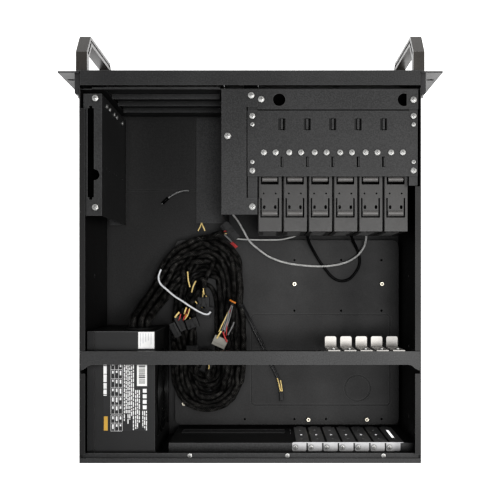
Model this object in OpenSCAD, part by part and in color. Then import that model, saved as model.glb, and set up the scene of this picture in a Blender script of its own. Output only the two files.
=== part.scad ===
// Rack-mount computer chassis, 4 units high, open at the top.
// X runs across the rack, Y from the rack face to the back, Z up from the underside.

/* [Chassis] */
// Width of the sheet-metal body
body_w = 428; // [420:1:440]
// Depth from the rack face to the rear wall
body_d = 491; // [485:1:500]
// Height of the body, four rack units less clearance
body_h = 177; // [176:0.5:178]
// Thickness of the sheet metal
sheet = 1.2; // [1:0.1:1.5]

/* [Rack ears] */
// Width over both rack ears
ear_span = 482.6; // [482:0.1:483]
// Distance between the slots of the left and right ear
slot_span = 465.1; // [464:0.1:466]
// Distance between the upper and lower ear slots
slot_rise = 101.6; // [100:0.1:103]
// Length of an ear slot
slot_len = 10; // [9:0.5:12]
// Width of an ear slot
slot_w = 6.8; // [6:0.1:7]
// How far the handles stand out in front of the ears
handle_reach = 50; // [40:1:60]

/* [Drive trays] */
// Distance from one drive tray to the next
tray_pitch = 31.9; // [31.5:0.1:33]
// Width of a drive tray
tray_w = 29.9; // [29:0.1:30.5]
// Height of a drive tray
tray_h = 106; // [105:1:107]
// Length of a drive tray
tray_len = 150; // [148:1:152]

/* [Motherboard tray] */
// Height of the top face of the motherboard tray
board_z = 28.8; // [26:0.1:32]
// Radius of the standoff holes
board_hole_r = 1.75; // [1.5:0.05:2]

/* [Power supply] */
// Width of the power supply
psu_w = 86; // [85:1:87]
// Height of the power supply, which stands on its side
psu_h = 150; // [149:1:151]
// Depth of the power supply
psu_d = 160; // [140:5:160]

/* [Card slots] */
// Distance from one card slot to the next
slot_pitch = 20.32; // [20:0.01:20.5]
// Number of card slots
slot_count = 7; // [5:1:7]

/* [Hidden] */
$fn = 48;

half_w = body_w / 2;
inner_w = half_w - sheet;
front_wall_y = 21;
recess_y = 472.8;            // inner face of the recessed part of the rear wall
recess_x = 106.4;            // where the recess ends, beside the power supply
shelf_z = 139;               // underside of the card-bracket shelf
lip_y = 485;
plate_z = 173.8;             // underside of the plates over the drives and bays
screw_r = 1.5;
hole_r = 1.6;
tray_z = 165 - tray_h;
tray_y = 50;
tray_x0 = -9.5;              // edge of the first tray
psu_x = 121.5;
psu_y = 326.7;
psu_z = 10;
psu_t = 0.8;
cable_x = 147;               // where the cables leave the power supply
cable_z = 118;
bar_y = 351;                 // front face of the crossbar
bar_w = 16.7;
bar_h = 16;
clip_pad_z = 115;
clip_screw_z = 164.5;
fan_size = 120;
fan_t = 25;
front_fan_x = -110;
front_fan_z = 88;
io_w = 158.75;
io_h = 44.45;
io_x = recess_x - 1.2 - io_w / 2;
io_z = 33;
psu_wall_y = psu_y + psu_d;  // inner face of the rear wall behind the power supply
ear_screw_y = 25;
ear_screw_z = [30, 148];
lip_screw_y = 482;
slot_x = [for (i = [0 : slot_count - 1]) -62.9 - slot_pitch * i];
slot_shift = -4.6;           // from a bracket's tab to its plate
tab_screw = 5.3;             // from a bracket's tab to its screw
clip_x = [for (i = [2 : 6]) slot_x[i] - 1.7];
tray_x = [for (i = [0 : 5]) tray_x0 - tray_w / 2 - tray_pitch * i];
board_cols = [-184.5, -60.04, 97.4];
board_rows = [460, 305.06, 232.67];
standoff_at = [[-60.04, 267], [-184.5, 267], [-79.8, 460], [-163, 460], [97.4, 437.1]];
rail_y = [256, 351, 446];
rail_z = 91;
ring_at = [-150, 415.7];
outer_screws = [[194.3, 33.6], [194.3, 170.4]];
inner_screws = [[-1.2, 30.1], [28.4, 81], [-2.6, 169.7]];
top_screws = concat(
  [for (x = [-2.6, -204.8]) for (y = [56, 124.4]) [x, y]],
  [for (x = tray_x) for (s = [-7.4, 7.4]) [x + s, 101.7]]
);
small_screws = [for (x = [-2.8, -204.8]) for (y = [66.7, 113.7]) [x, y]];
fan_screws = [[-13.8, 35], [-204.8, 35.6]];
wall_screw_z = [145, 125, 93, 74, 31];
wall_screw_y = 38;
psu_screw_at = [[psu_x + 6, psu_z + 16], [psu_x + 6, psu_z + 130], [psu_x + 80, psu_z + 6],
                [psu_x + 80, psu_z + 144]];
lip_screw_x = [75.8, -46.6, -167.3];
button_x = 0;
power_z = 150;
reset_z = 132;

// Routes of the free leads, in round numbers chosen by hand
trunk_route = [[147, 331, 118], [147, 321, 118], [145, 310, 115], [141, 299, 107],
               [135, 288, 94], [128, 276, 80], [121, 264, 68], [114, 252, 58], [106, 240, 53]];
panel_route = [[30, 165, 60], [25, 172, 56], [19, 180, 51], [12, 192, 46], [4, 206, 41], [-8, 217, 37],
               [-22, 227, 34], [-38, 234, 32.5], [-54, 238, 32.5], [-72, 240.5, 33.5],
               [-88, 241.7, 35], [-101, 241.8, 36.5], [-114, 240.7, 36], [-128, 237.8, 36],
               [-141, 232.5, 37], [-151.5, 224, 40], [-158, 214, 44], [-160, 203, 50],
               [-159, 192, 56]];
usb_route = [[-74, 186, 56], [-76.5, 196, 48], [-81, 209, 41], [-88, 221.5, 34.5], [-95.5, 234, 31.5],
             [-105, 247, 31], [-115, 258, 31], [-126.5, 262.7, 31], [-138, 260, 31],
             [-146.5, 251.5, 31], [-152, 241.5, 31], [-153, 230, 31], [-149, 217, 33], [-143, 206, 39],
             [-138.5, 196, 47], [-136, 187, 56]];
led_route = [[25, 202.5, 37], [16, 203.2, 33], [4, 203.7, 31], [-10, 204, 30.5], [-26, 204, 30.5],
             [-40, 203.6, 31], [-52, 201.6, 34.5], [-61, 199, 41], [-66, 194, 49], [-68, 188, 56]];
spare_route = [[15, 296, 44], [7.5, 311, 37], [0.5, 325, 33.5], [-6.5, 339.5, 32.5], [-14, 354, 32],
               [-21, 369.5, 32], [-28, 384, 32], [-34.5, 397, 32], [-39, 409, 32], [-41, 419, 32]];
tie_route = [[122, 247, 97], [125, 257, 98], [123, 266, 97], [114, 275, 92], [104, 284, 86],
             [95, 290, 82], [85, 297, 79], [71, 305.5, 78], [61, 308.5, 78], [56, 305, 78]];
speaker_route = [[93, 131, 4.2], [100, 131, 4.2], [106.5, 132.3, 4.2], [112.5, 134.8, 4.2],
                 [118, 138, 4.2], [123.5, 141.8, 4.2], [128.5, 146, 4.2], [132.5, 151, 4.2]];

function unit(v) = v / norm(v);
function along(p, i) = unit(p[min(i + 1, len(p) - 1)] - p[max(i - 1, 0)]);
function side(t) = unit(cross(abs(t[2]) > 0.9 ? [1, 0, 0] : [0, 0, 1], t));

// A tube swept along a list of points
module tube(route, r, sides = 8) {
  n = len(route);
  rings = [
    for (i = [0 : n - 1]) let (t = along(route, i), u = side(t), w = cross(t, u))
      for (k = [0 : sides - 1]) let (a = 360 * k / sides)
        route[i] + r * (cos(a) * u + sin(a) * w)
  ];
  faces = concat(
    [[for (k = [0 : sides - 1]) k]],
    [[for (k = [sides - 1 : -1 : 0]) (n - 1) * sides + k]],
    [for (i = [0 : n - 2]) for (k = [0 : sides - 1]) let (m = (k + 1) % sides)
      [i * sides + m, i * sides + k, (i + 1) * sides + k, (i + 1) * sides + m]]
  );
  polyhedron(points = rings, faces = faces);
}

// A box given by its lowest and highest corners
module span(low, high) {
  translate(low) cube(high - low);
}

// A rectangle with round corners
module round_rect(low, high, r) {
  translate([low[0] + r, low[1]]) square([high[0] - low[0] - 2 * r, high[1] - low[1]]);
  translate([low[0], low[1] + r]) square([high[0] - low[0], high[1] - low[1] - 2 * r]);
  for (x = [low[0] + r, high[0] - r]) for (y = [low[1] + r, high[1] - r])
    translate([x, y]) circle(r);
}

// A slot with round ends, running along X
module slot_2d(len, w) {
  square([len - w, w], center = true);
  for (s = [-1, 1]) translate([s * (len - w) / 2, 0]) circle(w / 2);
}

// Holes straight down through a top plate
module drill_down(points, r) {
  for (p = points) translate([p[0], p[1], plate_z - 4]) cylinder(r = r, h = 8);
}

// A cylinder along Y that starts at the given point
module along_y(p, r, h) {
  translate(p) rotate([-90, 0, 0]) cylinder(r = r, h = h);
}

// A cylinder along X that starts at the given point
module along_x(p, r, h) {
  translate(p) rotate([0, 90, 0]) cylinder(r = r, h = h);
}

module base_pan() {
  color([0.17, 0.17, 0.18]) difference() {
    union() {
      span([-half_w, front_wall_y, 0], [half_w, body_d - sheet, sheet]);
      for (s = [-1, 1]) {
        span([min(s * half_w, s * inner_w), front_wall_y, 0],
             [max(s * half_w, s * inner_w), body_d - sheet, body_h]);
        side_flange(s, s > 0 ? 46.6 : 144.5, 350);
        side_flange(s, 379, 480);
      }
      for (x = [psu_x + 14, psu_x + 66])
        span([x, psu_y + 10, sheet], [x + 10, psu_y + psu_d - 10, psu_z]);
      // Raised floor under the wide bays
      span([84, 24, sheet], [185.2, 129.6, 2 * sheet]);
    }
    // Pressed seam around the raised floor
    span([82.6, 24, 0.4], [84, 131, sheet + 1]);
    span([82.6, 129.6, 0.4], [185.2, 131, sheet + 1]);
    // The floor stops at the recessed rear wall, and the side walls dip under the lid lip
    span([-inner_w, recess_y + sheet, -1], [recess_x, body_d, 2 * sheet]);
    span([-half_w - 1, lip_y, body_h - 5], [half_w + 1, body_d, body_h + 1]);
    for (y = rail_y) along_x([-half_w - 1, y, rail_z], 2.1, body_w + 2);
    for (z = ear_screw_z) along_x([-half_w - 1, ear_screw_y, z], hole_r, body_w + 2);
  }
}

// Lid flange along the top of one side wall
module side_flange(s, y0, y1) {
  x0 = s > 0 ? half_w - 7.3 : -half_w;
  span([x0, y0, body_h - sheet], [x0 + 7.3, y1, body_h]);
}

module rear_wall() {
  in_y = recess_y + sheet;
  color([0.17, 0.17, 0.18]) difference() {
    union() {
      // Outer skin, full height behind the power supply and above the shelf elsewhere
      span([recess_x, psu_wall_y, sheet], [inner_w, psu_wall_y + sheet, body_h - 5]);
      span([-half_w, body_d - sheet, shelf_z - sheet], [recess_x, body_d, body_h - 5]);
      span([-half_w, lip_y, body_h - 5], [half_w, body_d, body_h - 5 + sheet]);
      span([-half_w, lip_y, body_h - 5], [half_w, lip_y + sheet, body_h]);
      span([-half_w, lip_y, body_h - sheet], [half_w, body_d, body_h]);
      span([-inner_w, 479, body_h - 5], [inner_w, lip_y, body_h - 5 + sheet]);
      // Recessed wall, its return beside the power supply and the card-bracket shelf
      span([-inner_w, recess_y, sheet], [recess_x, in_y, shelf_z]);
      span([recess_x - sheet, recess_y, sheet], [recess_x, body_d - sheet, shelf_z]);
      span([recess_x - sheet, psu_wall_y, shelf_z - sheet], [recess_x, body_d, body_h - 5]);
      span([-inner_w, recess_y, shelf_z - sheet], [recess_x, body_d - sheet, shelf_z]);
    }
    // Card slots, open through the wall and the shelf
    for (x = slot_x) {
      span([x + slot_shift - 6.2, recess_y - 1, 30],
           [x + slot_shift + 6.2, in_y + 1, shelf_z - sheet - 4]);
      translate([x + tab_screw, recess_y + 5.2, shelf_z - 4]) cylinder(r = hole_r, h = 8);
    }
    span([io_x - io_w / 2, recess_y - 1, io_z], [io_x + io_w / 2, in_y + 1, io_z + io_h]);
    // Opening for the power supply's rear face
    span([psu_x + 12, psu_wall_y - 1, psu_z + 12],
         [psu_x + psu_w - 12, psu_wall_y + 3, psu_z + psu_h - 12]);
    for (p = psu_screw_at) along_y([p[0], psu_wall_y - 1, p[1]], 1.9, 5);
    for (x = lip_screw_x) translate([x, lip_screw_y, body_h - 7]) cylinder(r = 1.2, h = 6);
  }
}

module front_wall() {
  y1 = front_wall_y + sheet;
  color([0.15, 0.15, 0.16]) difference() {
    union() {
      span([-inner_w, front_wall_y, sheet], [inner_w, y1, 172]);
      span([38, front_wall_y - 1, 172], [198.4, y1, 174.6]);
    }
    for (i = [0 : 2]) span([40, front_wall_y - 2, 45 + 43 * i], [182, y1 + 1, 84 + 43 * i]);
    along_y([front_fan_x, front_wall_y - 1, front_fan_z], 57, 4);
    for (s = [-1, 1]) for (t = [-1, 1])
      along_y([front_fan_x + s * 52.5, front_wall_y - 1, front_fan_z + t * 52.5], 2.2, 4);
  }
}

module front_panel() {
  color([0.16, 0.16, 0.17]) difference() {
    union() {
      span([-half_w, -1, 0], [half_w, 0.5, body_h]);
      span([-half_w + 1, 0.5, body_h - 1.5], [half_w - 1, 17.5, body_h]);
      span([-half_w + 1, 0.5, 0], [half_w - 1, 17.5, 1.5]);
      for (s = [-1, 1]) span([s * (half_w - 1) - 0.6, 0.5, 1.5], [s * (half_w - 1) + 0.6, 17.5, 175.5]);
    }
    for (i = [0 : 2]) span([36.5, -2, 43.6 + 43 * i], [185.5, 1, 85.4 + 43 * i]);
    for (i = [0 : 15]) for (row = [[33, 38], [132, 50]])
      translate([-182 + 9.6 * i, 2, row[0]]) rotate([90, 90, 0])
        linear_extrude(4) slot_2d(row[1], 4.6);
    along_y([button_x, -2, power_z], 7.2, 4);
    along_y([button_x, -2, reset_z], 3.2, 4);
    span([-9.2, -2, 86], [9.2, 1, 118]);
    for (z = [62, 72]) along_y([button_x, -2, z], 1.6, 4);
  }
}

// Rack ear: slotted face plate and thick side leg; s is the side it stands on
module ear(s) {
  color([0.24, 0.24, 0.25]) mirror([s > 0 ? 0 : 1, 0, 0]) difference() {
    union() {
      span([half_w + 0.3, 0, 0], [ear_span / 2, 2, body_h]);
      span([half_w + 0.1, 2, 2], [half_w + 6.3, 26, 175]);
      translate([half_w + 3.2, 26, 2]) cylinder(r = 3.1, h = 173);
    }
    for (z = [-1, 1]) translate([slot_span / 2, 3, body_h / 2 + z * slot_rise / 2])
      rotate([90, 0, 0]) linear_extrude(4) slot_2d(slot_len, slot_w);
    for (z = ear_screw_z) along_x([half_w, ear_screw_y, z], hole_r, 8);
  }
}

module ear_left() { ear(1); }
module ear_right() { ear(-1); }

// Handle: bent bar with chamfered corners and a shallow groove on its inner side
module handle(s) {
  top = 175.5;
  low = 1.5;
  bar = 11;
  drop = 22;
  out = handle_reach;
  shoulder = 25;
  x0 = 204.3;
  x1 = 218.7;
  profile = [[-1, top], [-shoulder, top], [-out, top - drop], [-out, low + drop],
             [-shoulder, low], [-1, low], [-1, low + bar], [-shoulder + 4.5, low + bar],
             [-out + bar, low + drop + 6], [-out + bar, top - drop - 6],
             [-shoulder + 4.5, top - bar], [-1, top - bar]];
  groove = [[-shoulder + 1, top - 4], [-out + 4, top - drop - 2], [-out + 4, low + drop + 2],
            [-shoulder + 1, low + 4], [-shoulder + 3, low + 7.5], [-out + 7.5, low + drop + 4],
            [-out + 7.5, top - drop - 4], [-shoulder + 3, top - 7.5]];
  color([0.3, 0.29, 0.28]) mirror([s > 0 ? 0 : 1, 0, 0]) difference() {
    translate([x0, 0, 0]) rotate([90, 0, 90]) linear_extrude(x1 - x0) polygon(profile);
    translate([x0 - 1, 0, 0]) rotate([90, 0, 90]) linear_extrude(2.2) polygon(groove);
  }
}

module handle_left() { handle(1); }
module handle_right() { handle(-1); }

module bay_bracket_outer() {
  color([0.2, 0.2, 0.21]) difference() {
    union() {
      span([186, 28, plate_z], [209, 181, plate_z + sheet]);
      span([186, 28, sheet], [186 + sheet, 181, plate_z]);
      span([186 + sheet, 28, sheet], [209, 181, 2 * sheet]);
    }
    translate([0, 0, plate_z - 1]) linear_extrude(4) {
      translate([196, 46]) square([8, 112]);
      translate([198, 43]) square([4, 118]);
      translate([196, 129.5]) circle(7);
    }
    drill_down(outer_screws, hole_r);
    for (z = wall_screw_z) along_x([185, wall_screw_y, z], hole_r, 4);
    for (z = wall_screw_z) along_x([185, wall_screw_y + 80, z], hole_r, 4);
  }
}

module bay_bracket_inner() {
  color([0.2, 0.2, 0.21]) difference() {
    union() {
      span([4.7, 23, plate_z], [36, 179.4, plate_z + sheet]);
      span([-8.8, 23, plate_z], [4.7, 44.6, plate_z + sheet]);
      span([-8.8, 158.7, plate_z], [4.7, 179.4, plate_z + sheet]);
      span([36 - sheet, 23, sheet], [36, 179.4, plate_z]);
      span([36, 24, sheet], [82, 178, 2 * sheet]);
    }
    drill_down(inner_screws, hole_r);
    for (z = wall_screw_z) along_x([34, wall_screw_y, z], hole_r, 4);
  }
}

module cage_top_plate() {
  color([0.2, 0.2, 0.21]) difference() {
    span([-210, 49.2, plate_z], [3.4, 131.4, plate_z + sheet]);
    drill_down(top_screws, hole_r);
    drill_down(small_screws, 1.1);
    for (i = [0 : 4]) {
      x = divider_x(i);
      span([x - 4, 58.8, plate_z - 1], [x + 5.6, 74, plate_z + 3]);
      span([x - 1.2, 106.7, plate_z - 1], [x + 2.8, 120.1, plate_z + 3]);
      translate([x + 5.2, 118.6, plate_z - 1]) cylinder(r = 0.9, h = 4);
    }
  }
}

function divider_x(i) = (tray_x[i] + tray_x[i + 1]) / 2;

// Welded cage: side plates with top flanges, five dividers with hooks, and a floor
module drive_cage() {
  z0 = tray_z - 0.4 - sheet;
  top = plate_z - sheet;
  left = tray_x0 + 0.6;
  right = tray_x[5] - tray_w / 2 - 0.6;
  color([0.18, 0.18, 0.19]) difference() {
    union() {
      span([left, tray_y, z0], [left + sheet, 158.7, top]);
      span([left, 24, top], [3, 179, plate_z]);
      span([right - sheet, tray_y, z0], [right, 143, top]);
      span([-210, 24, top], [right, 143, plate_z]);
      span([right, tray_y, z0], [left, 131, z0 + sheet]);
      span([left - 9, 24, top], [left, 44, plate_z]);
      for (i = [0 : 4]) {
        x = divider_x(i);
        span([x - 0.5, tray_y, z0 + sheet], [x + 0.5, 131, top]);
        span([x - 0.5, 60, top], [x + 0.5, 72.6, plate_z + 2.4]);
        span([x - 0.5, 60, plate_z + sheet], [x + 2, 72.6, plate_z + 2.4]);
        span([x - 0.5, 108, top], [x + 0.5, 119, plate_z + 1.6]);
      }
    }
    drill_down(concat(inner_screws, top_screws, fan_screws), hole_r);
    drill_down(small_screws, 1.1);
  }
}

// Plastic runners that hold the tray tops, each fixed by two screws
module tray_guides() {
  color([0.1, 0.1, 0.1]) difference() {
    for (x = tray_x) {
      span([x - 13, 54, tray_z + tray_h + 0.4], [x + 13, 126, plate_z]);
    }
    for (x = tray_x) {
      span([x - 4, 53, tray_z + tray_h], [x + 4, 127, tray_z + tray_h + 3]);
      for (s = [-7.4, 7.4]) translate([x + s, 101.7, plate_z - 6]) cylinder(r = hole_r, h = 8);
    }
  }
}

module fan_bracket() {
  color([0.2, 0.2, 0.21]) difference() {
    union() {
      span([-210.6, 23, plate_z], [-9.2, 47.6, plate_z + sheet]);
      span([-208, 22.6, plate_z - 12], [-12, 22.6 + sheet, plate_z]);
    }
    translate([-36.3, 35.5, plate_z - 1]) cylinder(r = 7.8, h = 4);
    difference() {
      translate([-193, 35.5, plate_z - 1]) cylinder(r = 8, h = 4);
      span([-210, 26, plate_z - 2], [-196.3, 45, plate_z + 4]);
    }
    drill_down(fan_screws, hole_r);
  }
}

// Drive carrier: open on one side for the drive, with a springy latch tongue on its top
module drive_tray(i) {
  wall = 1.6;
  z1 = tray_z + tray_h;
  y1 = tray_y + tray_len;
  hw = tray_w / 2;
  color([0.09, 0.09, 0.09]) translate([tray_x[i], 0, 0]) {
    difference() {
      union() {
        span([-hw, tray_y, z1 - wall], [hw - wall, y1, z1]);
        along_y([hw - wall, tray_y, z1 - wall], wall, tray_len);
        span([-hw, tray_y, tray_z], [hw, y1, tray_z + wall]);
        span([-hw, tray_y, tray_z + wall], [-hw + wall, y1, z1 - wall]);
        span([-hw, y1 - wall, tray_z + wall], [hw, y1, z1 - wall]);
      }
      // Window, and the U-shaped cut that frees the tongue
      span([-hw + 3.6, 131, z1 - wall - 1], [hw - 3.6, 140.7, z1 + 1]);
      for (s = [-1, 1]) span([s * 11 - 1, 157.7, z1 - wall - 1], [s * 11 + 1, 182.6, z1 + 1]);
      span([-12, 180.6, z1 - wall - 1], [12, 182.6, z1 + 1]);
      for (s = [-7.6, 7.6]) translate([s, 152, z1 - wall - 1]) cylinder(r = 1.2, h = 4);
      for (s = [-7, 7]) translate([s, 169.3, z1 - wall - 1]) rotate(90) linear_extrude(4) slot_2d(5, 3.4);
      // Drive screw holes in the side wall, and cooling slots in the rear face
      for (y = [80, 121.5]) for (z = [tray_z + 22, tray_z + 82]) along_x([-hw - 1, y, z], 1.7, 4);
      for (z = [tray_z + 20, tray_z + 40, tray_z + 60, tray_z + 80])
        span([-9, y1 - 3, z - 4], [9, y1 + 1, z + 4]);
    }
    // Rolled lip in the window, and the rolled tip of the tongue
    intersection() {
      along_x([-hw + 5.6, 134.3, z1 - 1.4], 3.3, tray_w - 11.2);
      span([-hw + 5, 130, z1 - wall], [hw - 5, 138, z1 + 2.4]);
    }
    intersection() {
      along_x([-9.4, 177, z1 - 1.6], 3.6, 18.8);
      span([-9.4, 172, z1 - wall], [9.4, 180.4, z1 + 2.4]);
    }
  }
}

module drive_tray_1() { drive_tray(0); }
module drive_tray_2() { drive_tray(1); }
module drive_tray_3() { drive_tray(2); }
module drive_tray_4() { drive_tray(3); }
module drive_tray_5() { drive_tray(4); }
module drive_tray_6() { drive_tray(5); }

module motherboard_tray() {
  low = [-209, 204.7];
  high = [110, 467.4];
  color([0.16, 0.16, 0.17]) difference() {
    union() {
      translate([0, 0, board_z - sheet]) linear_extrude(sheet) round_rect(low, high, 9);
      translate([0, 0, sheet]) linear_extrude(board_z - 2 * sheet) difference() {
        round_rect(low, high, 9);
        round_rect(low + [sheet, sheet], high - [sheet, sheet], 9 - sheet);
      }
      translate([0, 0, board_z - 3.4]) linear_extrude(3) bead_2d(5);
    }
    // Pressed bead round the processor area and round the knock-out
    translate([0, 0, board_z - 2]) linear_extrude(3) bead_2d(2.4);
    for (x = board_cols) for (y = board_rows)
      if (!(x > 90 && y > 450)) board_hole([x, y]);
    for (p = standoff_at) board_hole(p);
    for (p = [[-126.8, 232.67], [-126.8, 305.06], [10.9, 460], [-105.3, 460]]) board_hole(p);
  }
}

// Lines of the pressed beads, w wide
module bead_2d(w) {
  d = w / 2;
  difference() {
    round_rect([-196.2 - d, 310.8 - d], [1.2 + d, 439.8 + d], 5 + d);
    round_rect([-196.2 + d, 310.8 + d], [1.2 - d, 439.8 - d], 5 - d);
  }
  translate(ring_at) difference() {
    circle(18.2 + d);
    circle(18.2 - d);
  }
}

module board_hole(p) {
  translate([p[0], p[1], board_z - 3]) cylinder(r = board_hole_r, h = 6);
}

module standoffs() {
  color([0.8, 0.78, 0.7]) for (p = standoff_at) translate([p[0], p[1], board_z])
    difference() {
      union() {
        cylinder(r = 2.9, h = 6.35, $fn = 6);
        translate([0, 0, -2.4]) cylinder(r = board_hole_r - 0.1, h = 2.4);
      }
      translate([0, 0, 1]) cylinder(r = 1.3, h = 6);
    }
}

// Removable bar: an upturned channel with feet that run down the side walls
module crossbar() {
  y1 = bar_y + bar_w;
  z0 = body_h - bar_h;
  color([0.19, 0.19, 0.2]) difference() {
    union() {
      span([-206, bar_y, body_h - sheet], [206, y1, body_h]);
      span([-206, bar_y, z0], [206, bar_y + sheet, body_h - sheet]);
      span([-206, y1 - sheet, z0], [206, y1, body_h - sheet]);
      for (s = [-1, 1]) {
        mirror([s > 0 ? 0 : 1, 0, 0]) {
          translate([0, 0, body_h - sheet]) linear_extrude(sheet)
            polygon([[198, bar_y], [212.4, bar_y], [212.4, 374.6], [209.6, 374], [206.6, 372.3],
                     [204, 370.1], [201.4, 368.3], [198, y1]]);
          span([211.2, bar_y, 120], [212.4, 374.6, body_h - sheet]);
        }
      }
    }
    for (x = clip_x) along_y([x, bar_y - 1, clip_screw_z], 1.1, 3);
    for (i = [-11 : 0]) along_y([clip_x[0] - slot_pitch * (i - 1), bar_y - 1, clip_screw_z], 1.7, 3);
  }
}

// Card clip: an angle on the bar's front face that slides down on its slot, with a round-cornered pad
module card_clip(i) {
  color([0.85, 0.84, 0.8]) translate([clip_x[i], 0, 0]) difference() {
    union() {
      span([-7.5, bar_y - 1.4, clip_pad_z], [7.5, bar_y - 0.2, 176]);
      translate([0, 0, clip_pad_z]) linear_extrude(1.2)
        round_rect([-7.5, 336], [7.5, bar_y - 0.2], 2.5);
      span([-7.5, 342, clip_pad_z], [7.5, bar_y - 1.4, clip_pad_z + 1.2]);
    }
    span([-1.8, bar_y - 3, clip_screw_z - 1.8], [1.8, bar_y + 1, 174.6]);
  }
}

module card_clip_1() { card_clip(0); }
module card_clip_2() { card_clip(1); }
module card_clip_3() { card_clip(2); }
module card_clip_4() { card_clip(3); }
module card_clip_5() { card_clip(4); }

// Blank card brackets: plate, screw tab and tapered foot
module slot_covers() {
  color([0.75, 0.76, 0.77]) for (i = [0 : slot_count - 1]) translate([slot_x[i], recess_y, 0])
    difference() {
      union() {
        span([-13.2, -1.1, 28], [4, -0.1, shelf_z + 1]);
        span([-9.4, -1.1, 22], [0.2, -0.1, 28]);
        span([-9.2, -0.1, shelf_z], [9.2, 2, shelf_z + 1]);
        translate([0, 0, shelf_z]) linear_extrude(1) round_rect([-9.2, -1.1], [9.2, 10.6], 2);
      }
      for (z = [53, 117]) along_y([slot_shift, -2, z], 1.6, 3);
      if (i < slot_count - 1) {
        translate([slot_shift, 1, 85]) rotate([90, 90, 0]) linear_extrude(3) slot_2d(9, 3);
      } else {
        span([slot_shift - 2, -2, 48], [slot_shift + 2, 1, 108]);
      }
      translate([tab_screw, 5.2, shelf_z - 1]) cylinder(r = hole_r, h = 4);
    }
}

module io_plate() {
  y0 = recess_y;
  color([0.14, 0.14, 0.15]) union() {
    span([io_x - io_w / 2 + 0.2, y0, io_z + 0.2], [io_x + io_w / 2 - 0.2, y0 + 1, io_z + io_h - 0.2]);
    for (z = [io_z + 8, io_z + 20, io_z + 32])
      span([io_x - io_w / 2 + 8, y0 - 0.8, z], [io_x + io_w / 2 - 8, y0, z + 3]);
  }
}

// Power supply shell: floor, rear face, front face and the outer side
module psu_case() {
  x1 = psu_x + psu_w;
  y1 = psu_y + psu_d;
  z1 = psu_z + psu_h;
  color([0.13, 0.13, 0.13]) difference() {
    union() {
      span([x1 - psu_t, psu_y, psu_z], [x1, y1, z1]);
      span([psu_x, psu_y, psu_z], [x1 - psu_t, psu_y + psu_t, z1]);
      span([psu_x, y1 - psu_t, psu_z], [x1 - psu_t, y1, z1]);
      span([198.6, psu_y, z1 - psu_t], [x1, y1, z1]);
      span([198.6, psu_y, psu_z], [x1, y1, psu_z + psu_t]);
    }
    along_y([cable_x, psu_y - 1, cable_z], 17, 4);
    span([psu_x + 14, y1 - 3, psu_z + 20], [psu_x + 62, y1 + 1, psu_z + 50]);
    span([psu_x + 14, y1 - 3, psu_z + 58], [psu_x + 36, y1 + 1, psu_z + 74]);
    for (i = [0 : 6]) for (j = [0 : 5])
      span([psu_x + 14 + 9 * i, y1 - 3, psu_z + 84 + 9 * j],
           [psu_x + 20 + 9 * i, y1 + 1, psu_z + 90 + 9 * j]);
    for (p = psu_screw_at) along_y([p[0], y1 - 3, p[1]], hole_r, 5);
  }
}

// Power supply cover: top, bottom and the side that carries the fan
module psu_cover() {
  y1 = psu_y + psu_d;
  z1 = psu_z + psu_h;
  color([0.15, 0.15, 0.15]) difference() {
    union() {
      span([psu_x, psu_y + psu_t, z1 - psu_t], [198.2, y1 - psu_t, z1]);
      span([psu_x, psu_y + psu_t, psu_z], [198.2, y1 - psu_t, psu_z + psu_t]);
      span([psu_x, psu_y + psu_t, psu_z + psu_t], [psu_x + psu_t, y1 - psu_t, z1 - psu_t]);
    }
    along_x([psu_x - 1, psu_y + 84, psu_z + 75], 57, 4);
    for (s = [-52.5, 52.5]) for (t = [-52.5, 52.5])
      along_x([psu_x - 1, psu_y + 84 + s, psu_z + 75 + t], 2.2, 4);
  }
}

// Circuit board with heat sinks, transformers and capacitors, sealed in the power supply
module psu_board() {
  x0 = 196;
  color([0.35, 0.3, 0.15]) union() {
    span([x0, psu_y + 14, psu_z + 8], [x0 + 1.6, psu_y + 148, psu_z + 142]);
    span([x0 - 26, psu_y + 30, psu_z + 20], [x0 - 22, psu_y + 130, psu_z + 24]);
    span([x0 - 26, psu_y + 30, psu_z + 20], [x0, psu_y + 130, psu_z + 23]);
    span([x0 - 26, psu_y + 30, psu_z + 112], [x0, psu_y + 130, psu_z + 115]);
    span([x0 - 24, psu_y + 60, psu_z + 55], [x0, psu_y + 92, psu_z + 88]);
    for (y = [40, 112]) along_x([x0 - 24, psu_y + y, psu_z + 70], 13, 24);
  }
}

// Square fan frame around a round air way, its axis along Z, standing on z = 0
module fan_frame(size, depth) {
  difference() {
    linear_extrude(depth) difference() {
      round_rect([-size / 2, -size / 2], [size / 2, size / 2], 5);
      circle(size / 2 - 2.5);
    }
    for (s = [-1, 1]) for (t = [-1, 1]) translate([s * 52.5, t * 52.5, -1]) {
      cylinder(r = 2.2, h = depth + 2);
    }
  }
  linear_extrude(3) {
    circle(21);
    for (a = [45 : 90 : 315]) rotate(a) translate([18, -2]) square([size / 2 - 19, 4]);
  }
}

// Fan rotor: hub and seven slanted blades, its axis along Z
module fan_rotor(size, depth) {
  r = size / 2 - 4.5;
  translate([0, 0, 3.5]) cylinder(r = 20.5, h = depth - 5);
  intersection() {
    translate([0, 0, 5]) cylinder(r = r, h = depth - 9);
    for (k = [0 : 6]) rotate(k * 360 / 7) rotate([38, 0, 0]) translate([18, -14, -1.5])
      translate([0, 8, 0]) cube([r, 28, 1.6]);
  }
}

module psu_fan_frame() {
  color([0.08, 0.08, 0.08]) translate([psu_x + psu_t, psu_y + 84, psu_z + 75])
    rotate([0, 90, 0]) translate([0, 0, 25]) mirror([0, 0, 1]) fan_frame(fan_size, fan_t);
}

module psu_fan_rotor() {
  color([0.1, 0.1, 0.1]) translate([psu_x + psu_t, psu_y + 84, psu_z + 75])
    rotate([0, 90, 0]) translate([0, 0, 25]) mirror([0, 0, 1]) fan_rotor(fan_size, fan_t);
}

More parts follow.
